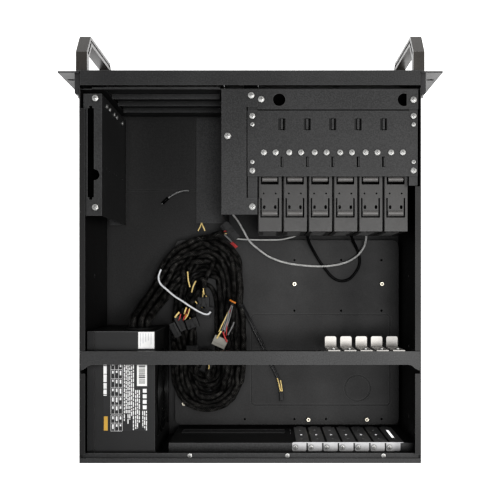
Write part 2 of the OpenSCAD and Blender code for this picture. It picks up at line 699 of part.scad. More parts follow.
// Wire guard over the fan: rings and four spokes
module psu_fan_guard() {
  color([0.6, 0.6, 0.6]) translate([psu_x - 2.2, psu_y + 84, psu_z + 75]) rotate([0, 90, 0]) {
    for (r = [16, 28, 40, 52]) rotate_extrude() translate([r, 1.1]) circle(0.9, $fn = 16);
    for (a = [45, 135]) rotate(a) translate([-74, -0.9, 0.2]) cube([148, 1.8, 1.8]);
  }
}

module psu_inlet() {
  x0 = psu_x + 14;
  z0 = psu_z + 20;
  y1 = psu_y + psu_d;
  color([0.05, 0.05, 0.05]) difference() {
    union() {
      span([x0 + 0.2, y1 - 15, z0 + 0.2], [x0 + 47.8, y1, z0 + 29.8]);
      span([x0 - 1, y1, z0 - 1], [x0 + 49, y1 + 2, z0 + 31]);
    }
    difference() {
      span([x0 + 12, y1 - 13, z0 + 6], [x0 + 36, y1 + 3, z0 + 22.4]);
      for (p = [[18, 12], [24, 15.5], [30, 12]])
        span([x0 + p[0] - 1, y1 - 14, z0 + p[1] - 2], [x0 + p[0] + 1, y1 - 3, z0 + p[1] + 2]);
    }
  }
}

// Rocker switch in its frame opening, tilted towards its off side
module psu_switch() {
  y1 = psu_y + psu_d;
  color([0.06, 0.06, 0.06]) translate([psu_x + 25, y1 - 2, psu_z + 66]) rotate([0, 0, -8])
    difference() {
      union() {
        span([-9.2, -6, -6.6], [9.2, 3, 6.6]);
        translate([0, -4, -6.6]) cylinder(r = 5, h = 13.2);
      }
      translate([0, 16, -7]) cylinder(r = 14.4, h = 14);
    }
}

// Rubber bushing where the cables leave the power supply
module psu_bushing() {
  color([0.05, 0.05, 0.05]) translate([cable_x, psu_y, cable_z]) rotate([90, 0, 0]) rotate_extrude()
    polygon([[15.2, -2.4], [19, -2.4], [19, -1], [16.8, -1], [16.8, 0.2], [19.4, 0.2], [19.4, 2.2],
             [15.2, 3]]);
}

// Generic rating labels, blank of any wording
module psu_label() {
  z1 = psu_z + psu_h;
  color([0.75, 0.75, 0.74]) {
    span([131, 353, z1], [187, 453.7, z1 + 0.15]);
    span([122.3, 327.6, z1], [142.8, 349, z1 + 0.15]);
  }
}

module front_fan_frame() {
  color([0.08, 0.08, 0.08]) translate([front_fan_x, front_wall_y + sheet, front_fan_z])
    rotate([-90, 0, 0]) fan_frame(fan_size, fan_t);
}

module front_fan_rotor() {
  color([0.1, 0.1, 0.1]) translate([front_fan_x, front_wall_y + sheet, front_fan_z])
    rotate([-90, 0, 0]) fan_rotor(fan_size, fan_t);
}

// Blank plates for the three wide bays, each a shallow tray with a lower flange
module bay_blanks() {
  color([0.15, 0.15, 0.16]) for (i = [0 : 2]) translate([0, 0, 43 * i]) {
    difference() {
      span([37, -0.8, 44], [185, 0.4, 85]);
      span([60, -2, 60], [162, -0.4, 69]);
    }
    for (x = [41, 179.8]) span([x, 0.4, 46], [x + 1.2, 19, 83]);
    span([41, 18, 46], [181, 19, 83]);
    span([41, 19, 46], [181, 25.5, 47.2]);
  }
}

// Push button with a shoulder behind the panel
module push_button(z, r) {
  along_y([button_x, -2.6, z], r, 8);
  along_y([button_x, 0.8, z], r + 1.4, 1.4);
}

module power_button() { color([0.2, 0.2, 0.22]) push_button(power_z, 7); }
module reset_button() { color([0.2, 0.2, 0.22]) push_button(reset_z, 3); }

// Two generic data sockets in one block
module front_ports() {
  color([0.07, 0.07, 0.08]) difference() {
    span([-9, -0.8, 86.2], [9, 14, 117.8]);
    for (z = [94, 110]) span([-6.2, -2, z - 2.6], [6.2, 12, z + 2.6]);
  }
}

module led_lenses() {
  color([0.3, 0.7, 0.4]) for (z = [62, 72]) along_y([button_x, -1.4, z], 1.5, 6);
}

// A cross-recessed pan-head screw, head up, its shank through the plate below
module screw(head_r) {
  difference() {
    union() {
      intersection() {
        cylinder(r = head_r, h = 2.4);
        translate([0, 0, -head_r * 1.4]) sphere(head_r * 1.4 + 2.2);
      }
      translate([0, 0, -2.4]) cylinder(r = head_r > 3 ? screw_r : 1, h = 2.4);
    }
    for (a = [0, 90]) rotate(a) translate([-head_r * 0.55, -0.6, 1]) cube([head_r * 1.1, 1.2, 3]);
  }
}

module case_screws() {
  top = plate_z + sheet;
  color([0.85, 0.85, 0.86]) {
    for (p = concat(outer_screws, inner_screws, fan_screws)) translate([p[0], p[1], top]) screw(4);
    for (p = top_screws) translate([p[0], p[1], top]) screw(3.6);
    for (p = small_screws) translate([p[0], p[1], top]) screw(2.6);
    for (z = wall_screw_z) translate([186, wall_screw_y, z]) rotate([0, -90, 0]) screw(2.8);
    for (x = slot_x) translate([x + tab_screw, recess_y + 5.2, shelf_z + 1]) screw(2.7);
    for (x = clip_x) translate([x, bar_y - 1.6, clip_screw_z]) rotate([90, 0, 0]) screw(2.9);
    for (x = lip_screw_x) translate([x, lip_screw_y, body_h - 5 + sheet]) screw(2.8);
    for (p = psu_screw_at)
      translate([p[0], psu_wall_y + sheet, p[1]]) rotate([-90, 0, 0]) screw(3.4);
    for (s = [-1, 1]) for (z = ear_screw_z)
      translate([s * (half_w + 6.3), ear_screw_y, z]) rotate([0, s * 90, 0]) screw(3.2);
  }
}

module harness_trunk() { color([0.06, 0.06, 0.06]) tube(trunk_route, 15, 12); }

// Looped and tied bundle of the power supply's cables
module harness_hank() {
  color([0.06, 0.06, 0.06]) translate([0, 0, board_z + 0.4]) linear_extrude(46) difference() {
    hank_outline(0);
    hank_outline(30);
  }
}

// Long outline with round ends, moved inward by inset
module hank_outline(inset) {
  r = 50 - inset;
  for (y = [250, 394]) translate([64, y]) circle(r);
  translate([64 - r, 250]) square([2 * r, 144]);
}

module twist_tie() { color([0.75, 0.76, 0.78]) tube(tie_route, 1.8); }
module panel_cable() { color([0.7, 0.7, 0.72]) tube(panel_route, 1.6); }
module usb_cable() { color([0.05, 0.05, 0.05]) tube(usb_route, 1.9); }
module led_wire() { color([0.8, 0.8, 0.8]) tube(led_route, 1); }
module spare_wires() { color([0.05, 0.05, 0.05]) tube(spare_route, 2.6); }
module speaker_lead() { color([0.05, 0.05, 0.05]) tube(speaker_route, 1.6); }

module spare_plug() {
  color([0.06, 0.06, 0.06]) translate([-41.5, 426.6, 29]) rotate([0, 0, 4])
    span([-3.2, -7.2, 0], [3.2, 7.2, 6.5]);
}

module molex_plug() {
  color([0.55, 0.55, 0.53]) translate([43.5, 346, 76]) rotate([0, 0, -24])
    span([-9.5, -7, 0], [9.5, 7, 8.5]);
}

module sata_plugs() {
  color([0.05, 0.05, 0.05]) {
    translate([97, 321, 76]) rotate([0, 0, -63]) span([-11, -4, 0], [11, 4, 7]);
    translate([105, 330, 76]) rotate([0, 0, -63]) span([-11, -4, 0], [11, 4, 7]);
  }
}

module atx_plug() {
  color([0.05, 0.05, 0.05]) translate([31, 193, 42]) rotate([0, 0, 40]) span([-14, -6, 0], [14, 6, 14]);
}

base_pan();
rear_wall();
front_wall();
front_panel();
ear_left();
ear_right();
handle_left();
handle_right();
bay_bracket_outer();
bay_bracket_inner();
cage_top_plate();
drive_cage();
tray_guides();
fan_bracket();
drive_tray_1();
drive_tray_2();
drive_tray_3();
drive_tray_4();
drive_tray_5();
drive_tray_6();
motherboard_tray();
standoffs();
crossbar();
card_clip_1();
card_clip_2();
card_clip_3();
card_clip_4();
card_clip_5();
slot_covers();
io_plate();
psu_case();
psu_cover();
psu_board();
psu_fan_frame();
psu_fan_rotor();
psu_fan_guard();
psu_inlet();
psu_switch();
psu_bushing();
psu_label();
front_fan_frame();
front_fan_rotor();
bay_blanks();
power_button();
reset_button();
front_ports();
led_lenses();
case_screws();
harness_trunk();
harness_hank();
twist_tie();
panel_cable();
usb_cable();
led_wire();
spare_wires();
spare_plug();
molex_plug();
sata_plugs();
atx_plug();
speaker_lead();
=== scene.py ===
import math

import bpy
import numpy as np
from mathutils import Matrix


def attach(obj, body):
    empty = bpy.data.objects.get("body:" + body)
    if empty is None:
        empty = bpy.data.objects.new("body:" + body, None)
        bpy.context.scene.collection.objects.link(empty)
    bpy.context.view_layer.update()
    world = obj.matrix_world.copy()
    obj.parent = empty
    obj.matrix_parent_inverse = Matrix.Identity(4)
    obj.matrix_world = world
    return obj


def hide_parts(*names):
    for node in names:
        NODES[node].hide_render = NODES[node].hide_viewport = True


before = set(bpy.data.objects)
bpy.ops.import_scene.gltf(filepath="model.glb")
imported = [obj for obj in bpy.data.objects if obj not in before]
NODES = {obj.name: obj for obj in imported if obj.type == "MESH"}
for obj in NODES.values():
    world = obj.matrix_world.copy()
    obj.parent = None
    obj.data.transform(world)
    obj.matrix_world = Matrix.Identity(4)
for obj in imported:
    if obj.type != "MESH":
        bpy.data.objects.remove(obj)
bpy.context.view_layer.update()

MM = 0.001

# ---------------------------------------------------------------- camera

eye = bpy.data.cameras.new("camera")
eye.lens, eye.sensor_width = 60.05, 36
eye.shift_x, eye.shift_y = -0.036, 0.064
eye.clip_end = 50
camera = bpy.data.objects.new("camera", eye)
camera.location = (-0.0223, 0.2641, 1.221)
camera.rotation_euler = (0, 0, math.pi)
bpy.context.scene.collection.objects.link(camera)
bpy.context.scene.camera = camera


# ---------------------------------------------------------------- materials


PROBES = 6          # rays per shaded point that look for edges and nooks, for the painted highlight and painted shade
SHADE_POWER = 1.6   # how fast the painted shade in a nook deepens as the nook closes


class Graph:
    """A material's node tree with short calls for the nodes used here."""

    def __init__(self, name, color, rough, metal=0.0, **sockets):
        self.mat = bpy.data.materials.new(name)
        self.mat.use_nodes = True
        self.tree = self.mat.node_tree
        self.bsdf = self.tree.nodes["Principled BSDF"]
        self.bsdf.inputs["Base Color"].default_value = (*color, 1)
        self.bsdf.inputs["Roughness"].default_value = rough
        self.bsdf.inputs["Metallic"].default_value = metal
        for key, value in sockets.items():
            self.bsdf.inputs[key.replace("_", " ")].default_value = value
        self.coord = self.tree.nodes.new("ShaderNodeTexCoord")

    def link(self, a, b):
        self.tree.links.new(a, b)

    def point(self, stretch):
        node = self.tree.nodes.new("ShaderNodeMapping")
        node.inputs["Scale"].default_value = stretch
        self.link(self.coord.outputs["Object"], node.inputs["Vector"])
        return node.outputs["Vector"]

    def noise(self, scale, detail=3.0, rough=0.5, at=None):
        node = self.tree.nodes.new("ShaderNodeTexNoise")
        node.inputs["Scale"].default_value = scale
        node.inputs["Detail"].default_value = detail
        node.inputs["Roughness"].default_value = rough
        self.link(self.coord.outputs["Object"] if at is None else at, node.inputs["Vector"])
        return node.outputs["Fac"]

    def calc(self, how, *values):
        node = self.tree.nodes.new("ShaderNodeMath")
        node.operation = how
        for k, value in enumerate(values):
            if isinstance(value, (int, float)):
                node.inputs[k].default_value = value
            else:
                self.link(value, node.inputs[k])
        return node.outputs["Value"]

    def ramp(self, fac, *stops):
        node = self.tree.nodes.new("ShaderNodeValToRGB")
        band = node.color_ramp.elements
        while len(band) < len(stops):
            band.new(0.5)
        for k, (at, color) in enumerate(stops):
            band[k].position = at
            band[k].color = (*color, 1)
        self.link(fac, node.inputs["Fac"])
        return node.outputs["Color"]

    def vector(self, how, *values):
        node = self.tree.nodes.new("ShaderNodeVectorMath")
        node.operation = how
        for k, value in enumerate(values):
            if isinstance(value, tuple):
                node.inputs[k].default_value = value
            else:
                self.link(value, node.inputs[k])
        return node

    def edges(self, width):
        """One on sharp edges, fading to zero within the width."""
        rounded = self.tree.nodes.new("ShaderNodeBevel")
        rounded.samples, rounded.inputs["Radius"].default_value = PROBES, width
        here = self.tree.nodes.new("ShaderNodeNewGeometry")
        same = self.vector("DOT_PRODUCT", rounded.outputs["Normal"], here.outputs["Normal"])
        node = self.tree.nodes.new("ShaderNodeMapRange")
        node.inputs["From Min"].default_value, node.inputs["From Max"].default_value = 0.995, 0.8
        self.link(same.outputs["Value"], node.inputs["Value"])
        return node.outputs["Result"]

    def paint(self, fac, *stops, painted_shade=0.0, edge_highlight=None):
        """Base colour from a ramp, with paler edges as a painted highlight and painted shade that
        darkens nooks within the given distance.
        """
        color = self.ramp(fac, *stops)
        # painted highlight: sharp edges are made paler in the base colour
        if edge_highlight:
            width, pale = edge_highlight
            line = self.ramp(self.edges(width), (0, (0, 0, 0)), (1, pale))
            color = self.vector("ADD", color, line).outputs["Vector"]
        # painted shade: the base colour darkens where the occlusion probes find nearby surfaces
        if painted_shade:
            nook = self.tree.nodes.new("ShaderNodeAmbientOcclusion")
            nook.samples, nook.inputs["Distance"].default_value = PROBES, painted_shade
            open_air = self.calc("POWER", nook.outputs["AO"], SHADE_POWER)
            shade_tint = self.tree.nodes.new("ShaderNodeCombineXYZ")
            for axis in shade_tint.inputs:
                self.link(open_air, axis)
            color = self.vector("MULTIPLY", color, shade_tint.outputs["Vector"]).outputs["Vector"]
        self.link(color, self.bsdf.inputs["Base Color"])

    def gloss(self, fac, low, high):
        node = self.tree.nodes.new("ShaderNodeMapRange")
        node.inputs["From Min"].default_value = 0.3
        node.inputs["From Max"].default_value = 0.7
        node.inputs["To Min"].default_value = low
        node.inputs["To Max"].default_value = high
        self.link(fac, node.inputs["Value"])
        self.link(node.outputs["Result"], self.bsdf.inputs["Roughness"])

    def bump(self, height, depth, strength):
        node = self.tree.nodes.new("ShaderNodeBump")
        node.inputs["Distance"].default_value = depth
        node.inputs["Strength"].default_value = strength
        self.link(height, node.inputs["Height"])
        self.link(node.outputs["Normal"], self.bsdf.inputs["Normal"])


def shade(color, k):
    return tuple(min(1.0, c * k) for c in color)


def coat(name, color, rough, grain=650, depth=0.00006, vary=0.25, shine=0.28,
         edge_highlight=(0.0007, 0.1)):
    """Powder coat: fine orange peel, faint cloudy patches, paler edges as a painted highlight and
    painted shade in nooks.
    """
    g = Graph(name, color, rough, Specular_IOR_Level=shine)
    cloud, fine = g.noise(9, 5, 0.6), g.noise(grain, 2)
    both = g.calc("ADD", g.calc("MULTIPLY", cloud, 0.35), g.calc("MULTIPLY", fine, 0.65))
    # painted shade within 9 mm, and paler edges as a painted highlight
    g.paint(both, (0.4, shade(color, 1 - vary)), (0.5, color), (0.6, shade(color, 1 + vary)),
            painted_shade=0.009, edge_highlight=(edge_highlight[0], (edge_highlight[1],) * 3) if edge_highlight else None)
    g.gloss(cloud, rough - 0.06, rough + 0.06)
    g.bump(fine, depth, 0.6)
    return g.mat


def plated(name, color, rough, streak=(1, 1, 1), vary=0.12, metal=1.0):
    """Bright plated metal with faint streaks, patches of duller tone and painted shade in recesses.
    """
    g = Graph(name, color, rough, metal)
    line = g.noise(420, 3, 0.6, g.point(streak))
    cloud = g.noise(60, 4)
    # painted shade within 2.5 mm darkens recesses
    g.paint(g.calc("MULTIPLY_ADD", line, 0.6, g.calc("MULTIPLY", cloud, 0.4)),
            (0.3, shade(color, 1 - 2 * vary)), (0.52, color), (0.75, shade(color, 1 + vary)),
            painted_shade=0.0025)
    g.gloss(line, rough - 0.08, rough + 0.1)
    g.bump(line, 0.00002, 0.4)
    return g.mat


def moulded(name, color, rough, grain=1100, depth=0.00004, shine=0.35, proud=0):
    """Moulded plastic with a fine grain and painted shade in nooks; above the height proud, in mm,
    it is painted up to three times paler with paler edges, a painted highlight.
    """
    g = Graph(name, color, rough, Specular_IOR_Level=shine)
    fine, cloud = g.noise(grain, 2), g.noise(25, 3)
    fac = cloud
    # painted highlight: parts above the height proud are painted paler
    if proud:
        split = g.tree.nodes.new("ShaderNodeSeparateXYZ")
        g.link(g.coord.outputs["Object"], split.inputs["Vector"])
        lifted = g.calc("GREATER_THAN", split.outputs["Z"], proud * MM)
        fac = g.calc("MULTIPLY_ADD", lifted, 1.0, g.calc("MULTIPLY", cloud, 0.6))
    # painted shade within 5 mm, and paler edges as a painted highlight on the proud parts
    g.paint(fac, (0.2, shade(color, 0.85)), (0.5, shade(color, 1.15)),
            (1.0, shade(color, 3.0 if proud else 1.15)), painted_shade=0.005,
            edge_highlight=(0.0008, (0.09, 0.09, 0.09)) if proud else None)
    g.gloss(fine, rough - 0.07, rough + 0.07)
    g.bump(fine, depth, 0.5)
    return g.mat


def braid(name, dark, light, threads=9, rough=0.5):
    """Braided sleeve: two families of threads that cross, laid out along the tube, with painted
    glints on the thread tops and painted shade in the gaps and nooks.
    """
    g = Graph(name, dark, rough, Specular_IOR_Level=0.12)
    split = g.tree.nodes.new("ShaderNodeSeparateXYZ")
    g.link(g.coord.outputs["UV"], split.inputs["Vector"])
    turn = 2 * math.pi * threads
    u = g.calc("MULTIPLY", split.outputs["X"], turn)
    v = g.calc("MULTIPLY", split.outputs["Y"], turn)
    one = g.calc("SINE", g.calc("ADD", u, v))
    two = g.calc("SINE", g.calc("SUBTRACT", u, v))
    weave = g.calc("MAXIMUM", one, two)
    loose = g.noise(160, 3)
    # painted shade in the gaps between threads, painted glints on their tops, and painted shade in
    # nooks within 11 mm
    g.paint(g.calc("MULTIPLY_ADD", loose, 0.5, g.calc("MULTIPLY", weave, 0.5)),
            (0.3, shade(dark, 0.3)), (0.66, dark), (0.86, light), painted_shade=0.011)
    g.gloss(weave, rough + 0.2, rough - 0.1)
    g.bump(weave, 0.0004, 0.9)
    return g.mat


def wire_skin(name, color, rough=0.35, **sockets):
    """Smooth plastic insulation."""
    g = Graph(name, color, rough, **sockets)
    g.paint(g.noise(90, 3), (0.3, shade(color, 0.75)), (0.7, shade(color, 1.15)))
    g.gloss(g.noise(300, 2), rough - 0.05, rough + 0.12)
    g.bump(g.noise(800, 2), 0.00002, 0.4)
    return g.mat


STEEL = coat("black_powder_coat", (0.037, 0.0372, 0.038), 0.46, vary=0.35, depth=0.0001)
# a darker copy of the black coat for the floor inside the walls: painted shade
SHADED_FLOOR_STEEL = coat("black_coat_shaded_inside", (0.0125, 0.0122, 0.0124), 0.5, vary=0.35, depth=0.0001)
EAR = coat("satin_dark_coat", (0.04, 0.04, 0.042), 0.4, grain=1200, depth=0.00003)
# the paler 1.4 mm edges of the handles are a painted highlight
HANDLE = coat("handle_coat", (0.055, 0.05, 0.045), 0.3, grain=1400, depth=0.00002, shine=0.5,
              edge_highlight=(0.0014, 0.3))
PSU_PAINT = coat("psu_satin_paint", (0.019, 0.019, 0.0195), 0.42, grain=1300, depth=0.00003)
# the tray tops above 165.3 mm are painted paler, with paler edges: a painted highlight
TRAY = moulded("tray_plastic", (0.052, 0.0505, 0.0495), 0.42, proud=165.3)
BLACK_PLASTIC = moulded("black_plastic", (0.008, 0.008, 0.0085), 0.5, shine=0.3)
GLOSS_BLACK = moulded("gloss_black", (0.008, 0.008, 0.009), 0.22, depth=0.00001)
RUBBER = moulded("black_rubber", (0.01, 0.01, 0.01), 0.75, grain=600)
ZINC = plated("bright_zinc", (0.62, 0.62, 0.61), 0.5, metal=0.7)
BRACKET = plated("bracket_steel", (0.46, 0.46, 0.465), 0.5, streak=(1, 1, 0.06), metal=0.5)
CLIP = coat("clip_enamel", (0.9, 0.87, 0.83), 0.5, vary=0.04, edge_highlight=None)
BRASS = plated("nickel_brass", (0.5, 0.47, 0.4), 0.42)
GUARD = coat("guard_wire", (0.012, 0.012, 0.012), 0.4, edge_highlight=None)
BOARD = moulded("circuit_board", (0.05, 0.12, 0.05), 0.5)
NYLON = moulded("grey_nylon", (0.3, 0.29, 0.26), 0.5, grain=500)
BUTTON = plated("button_metal", (0.55, 0.55, 0.57), 0.3, streak=(1, 0.1, 1))
LENS = moulded("green_lens", (0.2, 0.6, 0.3), 0.2)
# the second colour is a painted glint on the thread tops
SLEEVE = braid("braided_sleeve", (0.0045, 0.0043, 0.0041), (0.16, 0.154, 0.146))
TIE = moulded("grey_tie", (0.62, 0.63, 0.65), 0.42, grain=300)
FILM = moulded("label_film", (0.02, 0.02, 0.021), 0.35, depth=0.00001)
INK = moulded("label_print", (0.8, 0.8, 0.8), 0.45, depth=0.00001)
PAPER = moulded("label_paper", (0.82, 0.82, 0.81), 0.5, depth=0.00001)
AMBER = moulded("label_amber", (0.6, 0.36, 0.06), 0.45, depth=0.00001)
WIRES = {
    "black": wire_skin("wire_black", (0.003, 0.003, 0.0032), 0.5, Specular_IOR_Level=0.12),
    "dark": wire_skin("wire_dark_grey", (0.014, 0.014, 0.015), 0.4, Specular_IOR_Level=0.3),
    "yellow": wire_skin("wire_yellow", (0.85, 0.66, 0.28)),
    "orange": wire_skin("wire_orange", (0.75, 0.25, 0.03)),
    "red": wire_skin("wire_red", (0.5, 0.05, 0.05)),
    "grey": wire_skin("wire_grey", (0.22, 0.22, 0.22)),
    "white": wire_skin("wire_white", (0.6, 0.6, 0.59)),
}


# ---------------------------------------------------------------- mesh helpers


def resample(points, step):
    """A smooth curve through the points, as points a step apart."""
    p = np.asarray(points, float)
    q = np.vstack([2 * p[0] - p[1], p, 2 * p[-1] - p[-2]])
    t = np.linspace(0, 1, 9)[:-1, None]
    parts = []
    for i in range(len(p) - 1):
        a, b, c, d = q[i : i + 4]
        parts.append(0.5 * (2 * b + (c - a) * t + (2 * a - 5 * b + 4 * c - d) * t**2
                            + (3 * b - a - 3 * c + d) * t**3))
    line = np.vstack([*parts, p[-1:]])
    run = np.concatenate([[0], np.cumsum(np.linalg.norm(np.diff(line, axis=0), axis=1))])
    at = np.linspace(0, run[-1], max(3, int(round(run[-1] / step)) + 1))
    return np.column_stack([np.interp(at, run, line[:, k]) for k in range(3)])


def frames(line):
    """Unit tangents and two normals carried along the line without twist."""
    tangent = np.gradient(line, axis=0)
    tangent /= np.linalg.norm(tangent, axis=1)[:, None]
    up = np.array([0, 0, 1.0]) if abs(tangent[0][2]) < 0.9 else np.array([1.0, 0, 0])
    side = np.cross(up, tangent[0])
    sides = []
    for t in tangent:
        side = side - t * side.dot(t)
        side /= np.linalg.norm(side)
        sides.append(side)
    sides = np.array(sides)
    return tangent, sides, np.cross(tangent, sides)


def swept(line, profile, flat=False):
    """A closed profile (across, up) carried along the line, in mm: vertices, faces and UVs."""
    line = np.asarray(line, float)
    tangent, side, up = frames(line)
    if flat:
        side = np.cross(np.array([0, 0, 1.0]), tangent)
        side /= np.linalg.norm(side, axis=1)[:, None]
        up = np.cross(tangent, side)
    prof = np.asarray(profile, float)
    n, m = len(line), len(prof)
    verts = (line[:, None] + prof[None, :, :1] * side[:, None] + prof[None, :, 1:] * up[:, None])
    ring = np.arange(n * m).reshape(n, m)
    girth = np.linalg.norm(prof - np.roll(prof, 1, 0), axis=1).sum()
    run = np.concatenate([[0], np.cumsum(np.linalg.norm(np.diff(line, axis=0), axis=1))]) / girth
    faces, uvs = [], []
    for i in range(n - 1):
        for k in range(m):
            j = (k + 1) % m
            faces.append((ring[i, k], ring[i, j], ring[i + 1, j], ring[i + 1, k]))
            a, b = k / m, (k + 1) / m
            uvs += [(a, run[i]), (b, run[i]), (b, run[i + 1]), (a, run[i + 1])]
    for cap in (ring[0][::-1], ring[-1]):
        faces.append(tuple(cap))
        uvs += [(0.5, 0)] * m
    return verts.reshape(-1, 3), faces, uvs


def circle(r, sides=12):
    a = np.arange(sides) * 2 * math.pi / sides
    return np.column_stack([r * np.cos(a), r * np.sin(a)])


def brick(low, high):
    """A box between two corners, in mm."""
    (x0, y0, z0), (x1, y1, z1) = low, high
    verts = [(x, y, z) for x in (x0, x1) for y in (y0, y1) for z in (z0, z1)]
    faces = [(0, 1, 3, 2), (4, 6, 7, 5), (0, 4, 5, 1), (2, 3, 7, 6), (0, 2, 6, 4), (1, 5, 7, 3)]
    return np.array(verts, float), faces, [(0.5, 0.5)] * 24


def placed(part, at, turn=0.0):
    """The part turned about Z by degrees, then moved."""
    verts, faces, uvs = part
    c, s = math.cos(math.radians(turn)), math.sin(math.radians(turn))
    return verts @ np.array([[c, s, 0], [-s, c, 0], [0, 0, 1]]) + np.array(at, float), faces, uvs


def build(name, parts, smooth=True, bevel=0.0, stands_for=()):
    """One mesh object from (part, material) pairs given in mm."""
    verts, faces, uvs, slots, mats = [], [], [], [], []
    for (v, f, uv), mat in parts:
        base = len(verts)
        verts.extend(map(tuple, np.asarray(v) * MM))
        faces.extend(tuple(int(i) + base for i in face) for face in f)
        uvs.extend(uv)
        if mat not in mats:
            mats.append(mat)
        slots.extend([mats.index(mat)] * len(f))
    mesh = bpy.data.meshes.new(name)
    mesh.from_pydata(verts, [], faces)
    mesh.uv_layers.new(name="UVMap").data.foreach_set("uv", np.array(uvs, float).ravel())
    for mat in mats:
        mesh.materials.append(mat)
    mesh.polygons.foreach_set("material_index", slots)
    mesh.polygons.foreach_set("use_smooth", [smooth] * len(faces))
    mesh.update()
    piece = bpy.data.objects.new(name, mesh)
    bpy.context.scene.collection.objects.link(piece)
    if bevel:
        round_edges(piece, bevel)
    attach(piece, "chassis")
    if stands_for:
        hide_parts(*stands_for)
    return piece


def round_edges(piece, width):
    edge = piece.modifiers.new("edges", "BEVEL")
    edge.width = width * MM
    edge.segments = 2
    edge.limit_method = "ANGLE"
    edge.angle_limit = math.radians(40)


# ---------------------------------------------------------------- harness

BOARD_TOP = 28.8    # upper face of the motherboard tray, in mm like all routes here
TRUNK = [(147, 331, 118), (147, 321, 118), (145, 310, 115), (141, 299, 107), (135, 288, 94),
         (128, 276, 80), (121, 264, 68), (114, 252, 58), (106, 240, 53)]
LOOP_X = 64         # middle of the hank
ROUTE_STEP = 6      # spacing of a route's points while it settles
FINE_STEP = 2.4     # spacing of a route's points in the mesh
TURN_STEP = 0.018   # turns from one point of a loop to the next
SWAY = (4.5, 4.5, 3.0)


def loop_point(turns, w, top, low):
    """A point on a long loop seen from above: over the top, down one side and round the bottom."""
    run = low - top - 2 * w
    arc = math.pi * w
    s = (turns % 1.0) * 2 * (arc + run)
    if s < arc:
        a = -s / w
        return LOOP_X + w * math.cos(a), top + w + w * math.sin(a)
    s -= arc
    if s < run:
        return LOOP_X - w, top + w + s
    s -= run
    if s < arc:
        a = -math.pi - s / w
        return LOOP_X + w * math.cos(a), low - w + w * math.sin(a)
    return LOOP_X + w, low - w - (s - arc)


def hank_route(slot, tracks, start, stop, tail):
    """Trunk with a side offset, then turns of the hank whose shape drifts from track to track."""
    centre = resample(TRUNK, ROUTE_STEP)
    _, side, up = frames(centre)
    a, r = slot
    k = np.linspace(1, 1.25, len(centre))[:, None]
    trunk = centre + k * r * (math.cos(a) * side + math.sin(a) * up)
    turns = np.arange(start, stop, TURN_STEP)
    keys = np.arange(len(tracks))
    w, top, low, z = (np.interp(turns, keys, [t[i] for t in tracks]) for i in range(4))
    loop = np.array([(*loop_point(t, w[i], top[i], low[i]), z[i]) for i, t in enumerate(turns)])
    sway = 2 * math.pi * turns[:, None] * (0.8, 1.1, 0.9) + (7 * a, 11 * a, 5 * w[0])
    loop += np.sin(sway) * SWAY
    return resample(np.vstack([trunk, loop, tail]), ROUTE_STEP)


END_POINTS = 4      # points at each end of a strand that stay put
NEIGHBOURS = 5      # points this close along one strand don't push each other
PUSH, PUSH_CAP = 0.35, 1.6
SMOOTH, HOMING, SINK = 0.3, (0.03, 0.03, 0.0), 0.3
LAST_STEPS = 25     # these only push strands apart
SKIN = 0.5          # gap under a strand


def settle(lines, radii, steps):
    """Pushes crossing strands apart and lets them sink onto the tray, keeping their plan shape."""
    size = np.array([len(line) for line in lines])
    p = np.vstack(lines)
    r = np.repeat(radii, size)
    who = np.repeat(np.arange(len(lines)), size)
    order = np.concatenate([np.arange(n) for n in size])
    inner = (order >= END_POINTS) & (order <= np.repeat(size, size) - END_POINTS)
    home = p.copy()
    own = (who[:, None] == who[None]) & (np.abs(order[:, None] - order[None]) < NEIGHBOURS)
    want = r[:, None] + r[None]
    for step in range(steps):
        gap = p[:, None] - p[None]
        dist = np.sqrt((gap**2).sum(2)) + 1e-6
        over = np.where((dist < want) & ~own, (want - dist) / dist * PUSH, 0)
        push = (gap * over[..., None]).sum(1)
        far = np.linalg.norm(push, axis=1)[:, None]
        push *= np.minimum(1, PUSH_CAP / np.maximum(far, 1e-6))
        move = push
        if step < steps - LAST_STEPS:
            soft = np.zeros_like(p)
            soft[1:-1] = (p[:-2] + p[2:]) / 2 - p[1:-1]
            move = move + SMOOTH * soft + (home - p) * HOMING - (0, 0, SINK)
        p[inner] += move[inner]
        p[:, 2] = np.maximum(p[:, 2], BOARD_TOP + SKIN + r)
    return np.split(p, np.cumsum(size)[:-1])


# places in the trunk's section: angle, and distance from its middle
INNER = [(math.radians(120 * k + 90), 4.3) for k in range(3)]
OUTER = [(math.radians(360 / 7 * k), 10.6) for k in range(7)]
